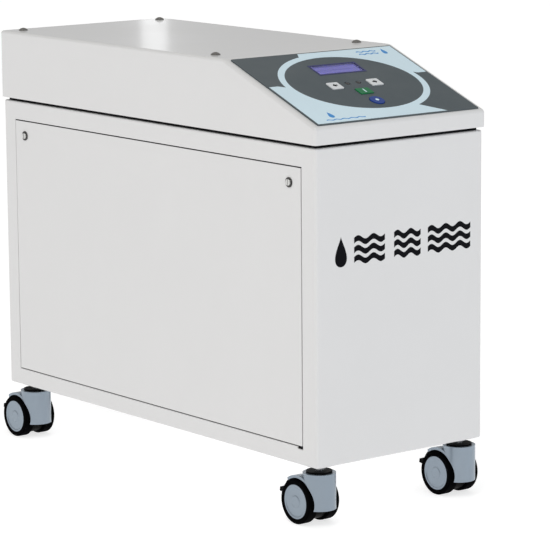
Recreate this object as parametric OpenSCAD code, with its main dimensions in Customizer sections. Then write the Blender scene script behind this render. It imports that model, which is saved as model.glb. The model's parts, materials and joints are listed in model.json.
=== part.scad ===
// Portable reverse osmosis unit.
// A narrow sheet-metal cabinet on four braked twin-wheel castors, with inset side panels and a separate
// top cover whose front slopes down as the control console. Inside are a carbon prefilter, a vane pump
// and its motor, two membrane vessels, a feed valve, the power box and a fan.
// The front is -Y, +Z is up, and the floor is at zero. Millimetres.

/* [Cabinet] */
// Width of the cabinet body
cab_w = 240; // [232:1:320]
// Depth of the cabinet body, front to rear
cab_d = 600; // [580:1:760]
// Height of the cabinet body
cab_h = 350; // [340:1:460]
// Thickness of the sheet metal
sheet = 2; // [1.5:0.1:2.5]
// Radius of the cabinet's upright bends
bend_r = 4; // [3:0.5:8]
// Width of the flange around the cabinet's open top, from the outer face
flange_w = 28; // [26:1:34]

/* [Side panels] */
// Cabinet wall left in front of and behind each side panel
panel_margin_y = 24; // [20:1:40]
// Cabinet wall left above each side panel
panel_margin_top = 22; // [18:1:40]
// Cabinet wall left below each side panel
panel_margin_bottom = 20; // [16:1:40]
// Gap all round each side panel
panel_gap = 1.3; // [0.8:0.1:2]
// Width of the rebate lip behind each side panel
lip_w = 12; // [8:1:16]
// Panel screws, from the panel opening's upright edges
panel_screw_in = 21; // [14:1:26]
// Panel screws, below the panel opening's top edge
panel_screw_down = 18.5; // [14:0.5:24]

/* [Top cover] */
// Height of the cover at the flat top
cover_h = 80.5; // [70:0.5:110]
// Height of the cover's front lip, below the slope
front_lip_h = 19; // [14:0.5:30]
// Length of the console slope, measured level
slope_run = 161; // [155:1:180]
// How far the cover stands out past the cabinet all round
cover_over = 2; // [1:0.5:4]
// Height of the dark gap between the cabinet and the cover
gasket_h = 3.5; // [2:0.5:5]
// Cover screws, from the cabinet's long sides
cover_screw_in = 18; // [16:1:22]
// Front cover screws, behind the start of the slope
cover_screw_front = 38; // [25:1:60]
// Rear cover screws, from the cabinet's rear
cover_screw_rear = 19; // [15:1:30]

/* [Console] */
// Width of the printed console plate
overlay_w = 230; // [226:1:300]
// Height of the printed console plate, down the slope
overlay_h = 163; // [160:1:165]
// Thickness of the printed console plate
overlay_t = 1.2; // [0.8:0.1:2]
// Width of the display window
window_w = 64; // [54:1:76]
// Height of the display window
window_h = 21; // [18:1:25]
// Width of each white key
key_w = 16; // [13:0.5:20]
// Height of each white key
key_h = 15; // [12:0.5:18]
// Width of the green key
start_w = 18.5; // [15:0.5:22]
// Height of the green key
start_h = 13; // [11:0.5:15]
// Diameter of the blue key
stop_d = 17.5; // [14:0.5:20]
// Gap around each key
key_gap = 0.4; // [0.3:0.05:0.6]
// How far a key moves when it is pressed
key_travel = 1; // [0.5:0.1:1.2]

/* [Castors] */
// Diameter of the castor wheels
wheel_d = 50; // [46:1:60]
// Width across both wheels of a castor
castor_w = 43; // [40:1:48]
// Width of each tyre
tread_w = 13; // [11:0.5:14]
// Distance from the stem to the axle
castor_trail = 16; // [14:0.5:20]
// Height of the cabinet's underside above the castor's top
castor_gap = 6.5; // [4:0.5:10]
// Diameter of the castor hood
hood_d = 37; // [34:1:40]
// Castor stems, from the cabinet's long sides and front
castor_in = 18; // [18:1:40]
// Rear castor stems, from the cabinet's rear
castor_in_rear = 29; // [20:1:60]
// Radial running clearance of wheels, axles and shafts
run_gap = 0.06; // [0.02:0.01:0.1]

/* [Water side] */
// Diameter of the membrane vessels
vessel_d = 66; // [60:1:72]
// Length of the membrane vessels, between their caps
vessel_l = 480; // [420:1:490]
// Wall of the membrane vessels
vessel_wall = 3; // [2:0.5:4]
// Diameter of the prefilter housing
filter_d = 104; // [90:1:108]
// Height of the prefilter housing, with its head
filter_h = 265; // [240:1:275]
// Diameter of the pump motor
motor_d = 112; // [92:1:116]
// Length of the pump motor
motor_l = 150; // [120:1:170]
// Diameter of the pump head
pump_d = 62; // [50:1:70]
// Outer radius of the hose tails
hose_tail_r = 6; // [5:0.1:8]
// Outer diameter of the inner tubing
tube_d = 10; // [8:1:12]

/* [Rear] */
// Side of the square cooling fan
fan_w = 80; // [60:1:92]
// Thickness of the cooling fan
fan_t = 20; // [15:1:25]
// Diameter of the pressure gauge's face
gauge_d = 50; // [40:1:60]

/* [Hidden] */
$fn = 64;
join = 0.02;
eps = 0.5;

white = [0.93, 0.93, 0.92];
dark_grey = [0.3, 0.34, 0.35];
black = [0.06, 0.06, 0.07];
steel = [0.72, 0.73, 0.75];
hood_grey = [0.58, 0.62, 0.68];

// Levels and places, from the floor up
wheel_r = wheel_d / 2;
castor_over = 35.5;
castor_top = wheel_r + castor_over;
cab_z = castor_top + castor_gap;
cab_top = cab_z + cab_h;
cover_z = cab_top + gasket_h;
cover_top = cover_z + cover_h;
in_x = cab_w / 2 - sheet;
in_y = cab_d / 2 - sheet;
floor_z = cab_z + sheet;

// Console slope
cover_y = cab_d / 2 + cover_over;
slope_y = slope_run - cover_y;
slope_rise = cover_h - front_lip_h;
slope_a = atan(slope_rise / slope_run);
slope_l = norm([slope_rise, slope_run]);

// Side panel opening
open_y = cab_d / 2 - panel_margin_y;
open_z0 = cab_z + panel_margin_bottom;
open_z1 = cab_top - panel_margin_top;
lip_t = 1.5;
lip_tab = 34;
notch_l = 9;
notch_h = 2.5;
screw_r = 2.5;
screw_gap = 0.05;
panel_head_r = 5.6;
panel_head_h = 1;
panel_centre_r = 3.6;
panel_centre_h = 2.4;
panel_screw_past = 4;

// Cover posts and screws
post_r = 6;
post_x = cab_w / 2 - cover_screw_in;
post_ys = [slope_y + cover_screw_front, cab_d / 2 - cover_screw_rear];
cover_head_r = 5.5;
cover_head_h = 3.2;
cover_screw_l = 16;
cover_screw_deep = 20;
dome_r = 7;
gasket_in = 4;
gasket_w = 6;
vent_w = 80;
vent_slot = 5;
vent_pitch = 24;
vents_y = 5 * vent_pitch;

// Console, as places [x, down the slope]
window_at = [3.5, 49];
key_row = 88;
key_x = 28.5;
key_off = -1.3;
led_at = [7.8, 84.5];
led_r = 3.4;
start_at = [key_off, 105.5];
stop_at = [key_off, 128.5];
key_rise = 1;
key_flange = 1.6;
key_flange_t = 1.2;
key_skirt = 4;
display_bezel = 3;
board_top = -sheet - 6.5;
board_t = 1.6;
board_w = 170;
board_l = 128;
board_from = 16;
board_post_r = 3;
switch_r = 1.8;

// Castors
axle_r = 3;
axle_z = wheel_r;
disc_r = wheel_r - 5.6;
tread_shoulder = 1.6;
tread_in = castor_w / 2 - tread_w;
web_w = 2 * tread_in - 1.4;
slot_cheek = 2.5;
slot_w = web_w - 2 * slot_cheek;
brake_w = slot_w - 2 * 0.4;
pedal_w = 30;
wheel_clear = 1.3;
brake_clear = 1;
hood_wall = 3;
hood_bottom = wheel_r - 7;
cap_t = 2;
stem_r = 5;
stem_deep = 13;
nut_r = 9.5;
nut_t = 6;
brake_from = 40;
brake_to = 84;
brake_tab = 10;
brake_hub_r = 7;
brake_gap = 0.6;
slot_from = 8;
slot_to = 150;
web_r = wheel_r - 3;
hub_r = brake_hub_r + 3;
pocket_w = slot_w + 0.6;
axle_short = 2.3;

// Castor corners: name, stem x, stem y
CORNERS = [
    ["fl", -cab_w / 2 + castor_in, -cab_d / 2 + castor_in],
    ["fr", cab_w / 2 - castor_in, -cab_d / 2 + castor_in],
    ["rl", -cab_w / 2 + castor_in, cab_d / 2 - castor_in_rear],
    ["rr", cab_w / 2 - castor_in, cab_d / 2 - castor_in_rear]
];
CASTOR_PARTS = ["chassis", "hood", "axle", "wheels", "treads", "brake"];

// Water side
vessel_r = vessel_d / 2;
vessel_x = -in_x + lip_t + 4 + vessel_r;
vessel_zs = [floor_z + 12 + vessel_r, floor_z + 36 + 3 * vessel_r];
cap_l = 26;
cap_over = 2;
seat_gap = 0.05;
clamp_w = 20;
clamp_t = 3;
clamp_ys = [-vessel_l / 4, vessel_l / 4];
port_r = 7;
port_l = 12;
filter_r = filter_d / 2;
filter_x = in_x - lip_t - 4 - filter_r;
filter_y = -in_y + 22 + filter_r;
filter_head_h = 38;
filter_wall = 4;
cartridge_r = 31;
cartridge_bore_r = 14;
motor_r = motor_d / 2;
motor_x = in_x - lip_t - 5 - motor_r;
motor_y = 20;
motor_z = floor_z + 14 + motor_r;
motor_wall = 8;
rotor_r = 30;
shaft_r = 7;
pump_r = pump_d / 2;
pump_l = 70;
vane_r = 19;
vane_l = 34;

// Rear panel, as places [x, height above the cabinet's floor]
inlet_w = 27;
inlet_h = 19.5;
socket_at = [in_x - 44, cab_h - 92];
socket_w = 50;
socket_h = 28;
socket_deep = 24;
switch_at = [socket_at[0], socket_at[1] - 42];
rocker_w = 20;
rocker_h = 26;
fan_at = [-in_x + 30 + fan_w / 2, cab_h - 38 - fan_w / 2];
fan_bore_r = fan_w / 2 - 3;
fan_hub_r = fan_w * 0.2;
fan_blades = 7;
gauge_at = [fan_at[0], fan_at[1] - fan_w / 2 - 22 - gauge_d / 2];
gauge_r = gauge_d / 2;
gauge_t = 24;
needle_l = gauge_r * 0.66;
tail_z = 52;
tail_xs = [-58, 0, 58];
tail_l = 24;
tail_hex_r = 12;
tail_hex_t = 8;
tail_thread_r = 9;
tail_in = 12;
tail_bore_r = 3.5;
rear_reach = tail_hex_t + tail_l;
rocker_tip = 9;
rocker_pin_r = 1.5;
rocker_pin_z = -4;
valve_y = in_y - 58;
valve_z = cab_z + tail_z;

// The model's centre, front to rear, is put on the origin
centre_y = (rear_reach - cover_over) / 2;

// ---- Shapes that repeat ----

module rounded_rect(w, d, r) {
    square([w - 2 * r, d], center = true);
    square([w, d - 2 * r], center = true);
    for (x = [-1, 1], y = [-1, 1])
        translate([x * (w / 2 - r), y * (d / 2 - r)]) circle(r);
}

module rounded_block(w, d, h, r) {
    linear_extrude(h) rounded_rect(w, d, r);
}

// A cylinder along X or Y, starting at the origin
module rod_x(r, l) rotate([0, 90, 0]) cylinder(r = r, h = l);
module rod_y(r, l) rotate([-90, 0, 0]) cylinder(r = r, h = l);

module tube_y(r, wall, l) {
    difference() {
        rod_y(r, l);
        translate([0, -eps, 0]) rod_y(r - wall, l + 2 * eps);
    }
}

// Children drawn on the console slope: x across, y up the slope, z out of it
module on_slope() {
    translate([0, slope_y, cover_top]) rotate([slope_a, 0, 0]) children();
}

module at_key(x, down) {
    translate([x, -down, 0]) children();
}

// Children drawn on the rear wall's outer face: x across, y up, z out of it
module on_rear(at) {
    translate([at[0], cab_d / 2, cab_z + at[1]]) mirror([1, 0, 0]) rotate([90, 0, 180]) children();
}

// Both long sides: children are drawn for the -X side
module both_sides() {
    children();
    mirror([1, 0, 0]) children();
}

module at_panel_screws() {
    for (s = [-1, 1], y = [-1, 1])
        translate([s * cab_w / 2, y * (open_y - panel_screw_in), open_z1 - panel_screw_down])
            rotate([0, 90 * s, 0]) children();
}

module at_cover_posts(z) {
    for (x = [-post_x, post_x], y = post_ys)
        translate([x, y, z]) children();
}

module at_stems(z) {
    for (c = CORNERS)
        translate([c[1], c[2], z]) children();
}

// ---- Cabinet ----

module cabinet_tub() {
    difference() {
        rounded_block(cab_w, cab_d, cab_h, bend_r);
        translate([0, 0, sheet])
            rounded_block(2 * in_x, 2 * in_y, cab_h - 2 * sheet, bend_r - sheet);
        translate([0, 0, cab_h - sheet - eps])
            rounded_block(cab_w - 2 * flange_w, cab_d - 2 * flange_w, sheet + 2 * eps, bend_r);
    }
}

module panel_opening() {
    translate([-cab_w / 2 - 1, -open_y, open_z0]) cube([sheet + 1, 2 * open_y, open_z1 - open_z0]);
}

// The lip that a side panel lies on, with a wide tab behind each screw
module panel_lip() {
    inner_y = open_y - lip_w;
    inner_z = open_z1 - open_z0 - 2 * lip_w;
    translate([-in_x, 0, 0]) difference() {
        translate([-join, -open_y - lip_w / 2, open_z0 - lip_w / 2])
            cube([lip_t + join, 2 * open_y + lip_w, open_z1 - open_z0 + lip_w]);
        difference() {
            translate([-eps, -inner_y, open_z0 + lip_w]) cube([lip_t + 2 * eps, 2 * inner_y, inner_z]);
            for (s = [-1, 1])
                translate([-1, s * open_y - lip_tab, open_z1 - lip_tab]) cube([4, 2 * lip_tab, lip_tab]);
        }
    }
}

module panel_notch() {
    translate([-cab_w / 2 - eps, -open_y, open_z0 - notch_h])
        cube([sheet + 2 * eps, notch_l, notch_h + join]);
}

module floor_vents() {
    for (y = [-vents_y : vent_pitch : vents_y])
        translate([-vent_w / 2, y, cab_z - eps]) cube([vent_w, vent_slot, sheet + 2 * eps]);
}

module rear_cutouts() {
    on_rear(socket_at) translate([0, 0, -sheet - eps])
        linear_extrude(sheet + 2 * eps) square([socket_w - 8, socket_h - 4], center = true);
    on_rear(switch_at) translate([0, 0, -sheet - eps])
        linear_extrude(sheet + 2 * eps) square([rocker_w, rocker_h], center = true);
    on_rear(gauge_at) translate([0, 0, -sheet - eps])
        cylinder(r = gauge_r - 3, h = sheet + 2 * eps);
    for (x = tail_xs)
        on_rear([x, tail_z]) translate([0, 0, -sheet - eps])
            cylinder(r = tail_thread_r, h = sheet + 2 * eps);
    on_rear(fan_at) fan_slots();
}

// Rows of slots in front of the fan, kept inside its round bore
module fan_slots() {
    intersection() {
        translate([0, 0, -sheet - eps]) cylinder(r = fan_bore_r - 2, h = sheet + 2 * eps);
        for (y = [-4 : 4])
            translate([-fan_w / 2, y * fan_w / 11 - 2, -sheet - eps]) cube([fan_w, 4, sheet + 2 * eps]);
    }
}

module cabinet_shell() {
    color(white) difference() {
        union() {
            difference() {
                union() {
                    translate([0, 0, cab_z]) cabinet_tub();
                    both_sides() panel_lip();
                }
                both_sides() panel_opening();
                both_sides() panel_notch();
            }
            at_cover_posts(cab_top - sheet) cylinder(r = post_r, h = cover_top - sheet - cab_top + sheet);
        }
        at_panel_screws() translate([0, 0, -sheet - lip_t - eps])
            cylinder(r = screw_r + screw_gap, h = sheet + lip_t + eps);
        at_cover_posts(cover_top - sheet - cover_screw_deep)
            cylinder(r = screw_r + screw_gap, h = cover_screw_deep + eps);
        at_stems(cab_z - eps) cylinder(r = stem_r + screw_gap, h = sheet + 2 * eps);
        floor_vents();
        rear_cutouts();
    }
}

module side_panel() {
    color(white) difference() {
        translate([-cab_w / 2, -open_y + panel_gap, open_z0 + panel_gap])
            cube([sheet, 2 * (open_y - panel_gap), open_z1 - open_z0 - 2 * panel_gap]);
        for (y = [-1, 1])
            translate([-cab_w / 2 - eps, y * (open_y - panel_screw_in), open_z1 - panel_screw_down])
                rod_x(screw_r + screw_gap, sheet + 2 * eps);
    }
}

// Quarter-turn fastener: a flanged head with a proud slotted centre
module panel_screws() {
    color(steel) at_panel_screws() difference() {
        union() {
            cylinder(r = panel_head_r, h = panel_head_h);
            cylinder(r = panel_centre_r, h = panel_centre_h);
            translate([0, 0, -sheet - lip_t - panel_screw_past])
                cylinder(r = screw_r, h = sheet + lip_t + panel_screw_past + join);
        }
        translate([-4, -0.5, panel_centre_h - 0.8]) cube([8, 1, 2]);
    }
}

// ---- Top cover ----

// Side outline of the cover, moved inwards by t all round but not at its open foot
function cover_outline(t) = [
    [-cover_y + t, 0],
    [cover_y - t, 0],
    [cover_y - t, cover_h - t],
    [slope_y + t * (1 / cos(slope_a) - 1) / tan(slope_a), cover_h - t],
    [-cover_y + t, front_lip_h + t * tan(slope_a) - t / cos(slope_a)]
];

module cover_solid(t, drop) {
    translate([-cab_w / 2 - cover_over + t, 0, cover_z]) rotate([90, 0, 90])
        linear_extrude(cab_w + 2 * (cover_over - t)) {
            polygon(cover_outline(t));
            translate([-cover_y + t, -drop]) square([2 * (cover_y - t), drop + join]);
        }
}

module top_cover() {
    color(white) difference() {
        intersection() {
            cover_solid(0, 0);
            translate([0, 0, cover_z - 1])
                rounded_block(cab_w + 2 * cover_over, 2 * cover_y, cover_h + 2, bend_r + cover_over);
        }
        cover_solid(sheet, 1);
        at_cover_posts(cover_top - sheet - eps) cylinder(r = screw_r + screw_gap, h = sheet + 2 * eps);
        on_slope() translate([0, 0, -sheet - eps]) console_windows(sheet + 2 * eps);
    }
}

// Flat rim that the cover's gasket lies on, set in from the cabinet's edge to leave a dark gap
module cover_gasket() {
    outer_w = cab_w - 2 * gasket_in;
    outer_d = cab_d - 2 * gasket_in;
    color(black) translate([0, 0, cab_top]) difference() {
        rounded_block(outer_w, outer_d, gasket_h, bend_r);
        translate([0, 0, -eps])
            rounded_block(outer_w - 2 * gasket_w, outer_d - 2 * gasket_w, gasket_h + 2 * eps, bend_r);
    }
}

module cover_screws() {
    color(steel) at_cover_posts(cover_top) difference() {
        union() {
            cylinder(r = cover_head_r, h = 1);
            translate([0, 0, 1 - join]) intersection() {
                cylinder(r = cover_head_r - 0.8, h = cover_head_h - 1 + join);
                translate([0, 0, cover_head_h - 1 - dome_r]) sphere(r = dome_r);
            }
            translate([0, 0, -cover_screw_l]) cylinder(r = screw_r, h = cover_screw_l + join);
        }
        translate([0, 0, cover_head_h - 1.6]) cylinder(r = 1.7, h = 2, $fn = 6);
    }
}

// ---- Console ----

module key_hole(w, h, depth) {
    translate([-w / 2 - key_gap, -h / 2 - key_gap, 0]) cube([w + 2 * key_gap, h + 2 * key_gap, depth]);
}

// The windows that the cover and the plate share
module console_windows(depth) {
    at_key(window_at[0], window_at[1]) translate([-window_w / 2, -window_h / 2, 0])
        cube([window_w, window_h, depth]);
    for (s = [-1, 1]) {
        at_key(key_off + s * key_x, key_row) key_hole(key_w, key_h, depth);
        at_key(key_off + s * led_at[0], led_at[1]) cylinder(r = led_r, h = depth);
    }
    at_key(start_at[0], start_at[1]) key_hole(start_w, start_h, depth);
    at_key(stop_at[0], stop_at[1]) cylinder(r = stop_d / 2 + key_gap, h = depth);
}

module control_overlay() {
    color(dark_grey) on_slope() difference() {
        translate([0, -slope_l / 2 - 1, 0]) rounded_block(overlay_w, overlay_h, overlay_t, 2);
        translate([0, 0, -eps]) console_windows(overlay_t + 2 * eps);
    }
}

module display_window() {
    color([0.25, 0.25, 0.6, 0.5]) on_slope() at_key(window_at[0], window_at[1])
        translate([-window_w / 2, -window_h / 2, -sheet + 0.6])
            cube([window_w, window_h, sheet + overlay_t - 0.6 - 0.2]);
}

module display_module() {
    color([0.12, 0.13, 0.3]) on_slope() at_key(window_at[0], window_at[1]) {
        translate([-window_w / 2 - display_bezel, -window_h / 2 - display_bezel, board_top])
            cube([window_w + 2 * display_bezel, window_h + 2 * display_bezel, -board_top - sheet - 0.1]);
        translate([-window_w / 2 + 0.5, -window_h / 2 + 0.5, -sheet - 0.1 - join])
            cube([window_w - 1, window_h - 1, 0.6 + 0.1 + join]);
    }
}

// A key cap with a flange under the cover that stops it coming out
module key_cap(w, h) {
    wide = w + 2 * key_flange;
    tall = h + 2 * key_flange;
    translate([0, 0, -key_skirt]) linear_extrude(key_skirt + overlay_t + key_rise) rounded_rect(w, h, 1.5);
    translate([0, 0, -key_skirt]) linear_extrude(key_flange_t) rounded_rect(wide, tall, 1.5);
}

module key_stop_cap() {
    translate([0, 0, -key_skirt]) cylinder(r = stop_d / 2, h = key_skirt + overlay_t + key_rise);
    translate([0, 0, -key_skirt]) cylinder(r = stop_d / 2 + key_flange, h = key_flange_t);
}

module white_key(s) {
    color(white) on_slope() at_key(key_off + s * key_x, key_row) key_cap(key_w, key_h);
}

module key_start() {
    color([0.05, 0.5, 0.28]) on_slope() at_key(start_at[0], start_at[1]) key_cap(start_w, start_h);
}

module key_stop() {
    color([0.1, 0.25, 0.6]) on_slope() at_key(stop_at[0], stop_at[1]) key_stop_cap();
}

module status_leds() {
    color([0.15, 0.05, 0.05]) on_slope() for (s = [-1, 1])
        at_key(key_off + s * led_at[0], led_at[1]) {
            translate([0, 0, board_top]) cylinder(r = led_r - 0.4, h = -board_top + overlay_t - 0.6);
            translate([0, 0, overlay_t - 0.6]) intersection() {
                cylinder(r = led_r - 0.4, h = 1.4);
                translate([0, 0, -3.2]) sphere(r = 4.4);
            }
        }
}

// Circuit board under the slope, on four posts, with a switch button under each key
module control_board() {
    switch_h = -key_skirt - key_travel - 0.3 - board_top;
    color([0.1, 0.35, 0.2]) on_slope() {
        translate([-board_w / 2, -board_from - board_l, board_top - board_t])
            cube([board_w, board_l, board_t]);
        for (x = [-1, 1], y = [8, board_l - 8])
            translate([x * (board_w / 2 - 8), -board_from - y, board_top - join])
                cylinder(r = board_post_r, h = -sheet - board_top + join);
        for (at = [[key_off - key_x, key_row], [key_off + key_x, key_row], start_at, stop_at])
            at_key(at[0], at[1]) translate([0, 0, board_top - join]) {
                translate([-3, -3, 0]) cube([6, 6, switch_h / 2 + join]);
                cylinder(r = switch_r, h = switch_h + join);
            }
    }
}

// ---- Castors, with the stem on the origin, the floor at zero and the wheels trailing along +Y ----

module at_axle() {
    translate([0, castor_trail, axle_z]) children();
}

// A sector of a ring round the axle, from one angle to another, measured back from straight up
module axle_sector(r0, r1, from, to, w) {
    at_axle() rotate([0, 90, 0]) rotate([0, 0, 180 - to]) translate([0, 0, -w / 2])
        rotate_extrude(angle = to - from) translate([r0, 0]) square([r1 - r0, w]);
}

// Room for both wheels, outside the middle web
module wheel_room(clear) {
    for (s = [-1, 1])
        at_axle() translate([s > 0 ? web_w / 2 : -castor_w, 0, 0])
            rod_x(wheel_r + clear, castor_w - web_w / 2);
}

// Black chassis: the web between the wheels, the stem's socket and the cap over the hood
module castor_chassis() {
    color(black) difference() {
        union() {
            translate([0, 0, castor_top - cap_t]) cylinder(r = hood_d / 2 - 0.5, h = cap_t);
            translate([0, 0, axle_z - 2]) cylinder(r = web_w / 2, h = castor_top - cap_t - axle_z + 2 + join);
            at_axle() translate([-web_w / 2, 0, 0]) rod_x(web_r, web_w);
            translate([-web_w / 2, 0, axle_z - hub_r]) cube([web_w, castor_trail, wheel_r + hub_r - 8]);
        }
        axle_sector(axle_r + 1, wheel_r + 8, slot_from, slot_to, slot_w);
        at_axle() translate([-pocket_w / 2, 0, 0]) rod_x(brake_hub_r + brake_gap, pocket_w);
        at_axle() translate([-web_w, 0, 0]) rod_x(axle_r + run_gap / 2, 2 * web_w);
        translate([0, 0, castor_top - stem_deep]) cylinder(r = stem_r + run_gap, h = stem_deep + eps);
    }
}

// Grey hood: an upright round nose in front of the wheels and a roof that follows them back
module castor_hood() {
    top = castor_top - cap_t;
    nose_r = hood_d / 2;
    roof_r = wheel_r + wheel_clear + hood_wall;
    color(hood_grey) difference() {
        union() {
            translate([0, 0, hood_bottom]) cylinder(r = nose_r, h = top - hood_bottom);
            intersection() {
                at_axle() translate([-nose_r, 0, 0]) rod_x(roof_r, hood_d);
                translate([-nose_r, 0, wheel_r + 12]) cube([hood_d, castor_trail + 17, wheel_r]);
            }
        }
        wheel_room(wheel_clear);
        translate([-web_w / 2 - 0.1, -web_w / 2 - 0.1, 0]) cube([web_w + 0.2, 2 * wheel_r, top - 3]);
        translate([0, 0, top - 4]) cylinder(r = web_w / 2 + 0.1, h = 5);
        axle_sector(wheel_r + brake_clear - 1, wheel_r + 12, brake_from - 4, 150, 2 * hood_d);
    }
}

module castor_axle() {
    color(steel) at_axle() translate([-castor_w / 2 + axle_short, 0, 0])
        rod_x(axle_r, castor_w - 2 * axle_short);
}

module castor_wheels() {
    color(hood_grey) for (s = [-1, 1])
        at_axle() mirror([s < 0 ? 1 : 0, 0, 0]) translate([tread_in, 0, 0]) difference() {
            rod_x(disc_r, tread_w - 0.4);
            translate([-eps, 0, 0]) rod_x(axle_r + run_gap, tread_w - 2 + eps);
            translate([-eps, 0, 0]) difference() {
                rod_x(disc_r - 3, tread_w - 6 + eps);
                rod_x(axle_r + 3, tread_w);
            }
        }
}

// Tyres: rings with rounded shoulders
module castor_treads() {
    color(black) for (s = [-1, 1])
        at_axle() mirror([s < 0 ? 1 : 0, 0, 0]) translate([tread_in, 0, 0]) rotate([0, 90, 0])
            rotate_extrude() translate([disc_r, 0]) {
                square([wheel_r - disc_r - tread_shoulder, tread_w]);
                translate([0, tread_shoulder])
                    square([wheel_r - disc_r, tread_w - 2 * tread_shoulder]);
                for (y = [tread_shoulder, tread_w - tread_shoulder])
                    translate([wheel_r - disc_r - tread_shoulder, y]) circle(tread_shoulder);
            }
}

// Brake: a hub round the axle, an arm between the wheels and a pedal over them, with a foot tab
module castor_brake() {
    pedal_r0 = wheel_r + brake_clear;
    pedal_r1 = pedal_r0 + 3;
    color(black) {
        difference() {
            union() {
                at_axle() translate([-brake_w / 2, 0, 0]) rod_x(brake_hub_r, brake_w);
                axle_sector(brake_hub_r - 2, pedal_r0 + 1, brake_from + 8, brake_to - 6, brake_w - 1);
            }
            at_axle() translate([-brake_w, 0, 0]) rod_x(axle_r + run_gap, 2 * brake_w);
        }
        axle_sector(pedal_r0, pedal_r1, brake_from, brake_to, pedal_w);
        axle_sector(pedal_r0, pedal_r1 + brake_tab, brake_to - 7, brake_to, pedal_w - 6);
    }
}

// Stems fixed in the cabinet's floor, each with a shoulder under it and a nut above
module castor_stems() {
    low = castor_top - stem_deep + 0.5;
    color(steel) at_stems(0) {
        translate([0, 0, low]) cylinder(r = stem_r, h = floor_z + nut_t + 3 - low);
        translate([0, 0, castor_top + 3]) cylinder(r = 8, h = cab_z - castor_top - 3);
        translate([0, 0, floor_z]) cylinder(r = nut_r, h = nut_t, $fn = 6);
    }
}

// ---- Water side ----

module pressure_vessels() {
    color([0.85, 0.86, 0.88]) for (z = vessel_zs)
        translate([vessel_x, -vessel_l / 2, z]) tube_y(vessel_r, vessel_wall, vessel_l);
}

// Caps screwed over the vessels' ends, each with a port along the vessel's axis
module vessel_caps() {
    color([0.2, 0.2, 0.22]) for (z = vessel_zs, s = [-1, 1])
        translate([vessel_x, 0, z]) mirror([0, s < 0 ? 1 : 0, 0])
            translate([0, vessel_l / 2, 0]) difference() {
                union() {
                    translate([0, -cap_l + 8, 0]) rod_y(vessel_r + cap_over, cap_l);
                    translate([0, 8 - join, 0]) rod_y(port_r, port_l + join);
                }
                translate([0, -cap_l, 0]) rod_y(vessel_r + seat_gap, cap_l);
                translate([0, -1, 0]) rod_y(tube_d / 2 + seat_gap, cap_l + port_l);
            }
}

module membrane_elements() {
    r = vessel_r - vessel_wall - 1.5;
    color([0.8, 0.85, 0.9]) for (z = vessel_zs)
        translate([vessel_x, -vessel_l / 2 + 12, z]) difference() {
            rod_y(r, vessel_l - 24);
            translate([0, -eps, 0]) rod_y(8, vessel_l);
        }
}

// Saddles that stand on the floor and hold both vessels
module vessel_clamps() {
    r = vessel_r + clamp_t;
    color(steel) for (y = clamp_ys) difference() {
        union() {
            for (z = vessel_zs)
                translate([vessel_x, y - clamp_w / 2, z]) rod_y(r, clamp_w);
            translate([vessel_x - 12, y - clamp_w / 2, floor_z])
                cube([24, clamp_w, vessel_zs[1] - floor_z]);
        }
        for (z = vessel_zs)
            translate([vessel_x, y - clamp_w, z]) rod_y(vessel_r + seat_gap, 2 * clamp_w);
    }
}

module pump_motor() {
    color([0.35, 0.4, 0.45]) translate([motor_x, motor_y, 0]) difference() {
        union() {
            translate([0, 0, motor_z]) rod_y(motor_r, motor_l);
            for (x = [-1, 1])
                translate([x * motor_r * 0.55 - 10, 20, floor_z]) cube([20, motor_l - 40, motor_z - floor_z]);
            for (a = [20 : 20 : 160])
                translate([0, 15, motor_z]) rotate([0, -a, 0]) translate([motor_r - 2, 0, -1])
                    cube([5, motor_l - 30, 2]);
        }
        translate([0, motor_wall, motor_z]) rod_y(rotor_r + 1, motor_l - 2 * motor_wall);
        translate([0, -eps, motor_z]) rod_y(shaft_r + run_gap, motor_l / 2);
        translate([0, motor_l / 2, motor_z]) rod_y(shaft_r + run_gap, motor_l / 2 - 3);
    }
}

// Motor rotor, shaft and the pump's vane rotor, which turn as one
module pump_shaft() {
    front = motor_y - pump_l + 14;
    color(steel) translate([motor_x, 0, motor_z]) {
        translate([0, front, 0]) rod_y(shaft_r, motor_y + motor_l - 6 - front);
        translate([0, motor_y + motor_wall + 6, 0]) rod_y(rotor_r, motor_l - 2 * motor_wall - 12);
        translate([0, front + 4, 0]) rod_y(vane_r, vane_l);
    }
}

// Pump head: a round body bolted to the motor's front, with a port each side
module pump_head() {
    front = motor_y - pump_l;
    color([0.72, 0.58, 0.3]) translate([motor_x, front, motor_z]) difference() {
        union() {
            rod_y(pump_r, pump_l);
            translate([0, 16 + vane_l / 2, pump_r - 4]) cylinder(r = port_r + 3, h = port_l + 4);
            translate([-pump_r - port_l, 16 + vane_l / 2, 0]) rod_x(port_r + 3, port_l + 4);
        }
        translate([0, 14, 0]) rod_y(shaft_r + run_gap, pump_l);
        translate([0, 17, 0]) rod_y(vane_r + 0.4, vane_l + 2);
        translate([0, 16 + vane_l / 2, 0]) cylinder(r = tube_d / 2 + seat_gap, h = pump_d);
        translate([-pump_d, 16 + vane_l / 2, 0]) rod_x(tube_d / 2 + seat_gap, pump_d);
    }
}

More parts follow.
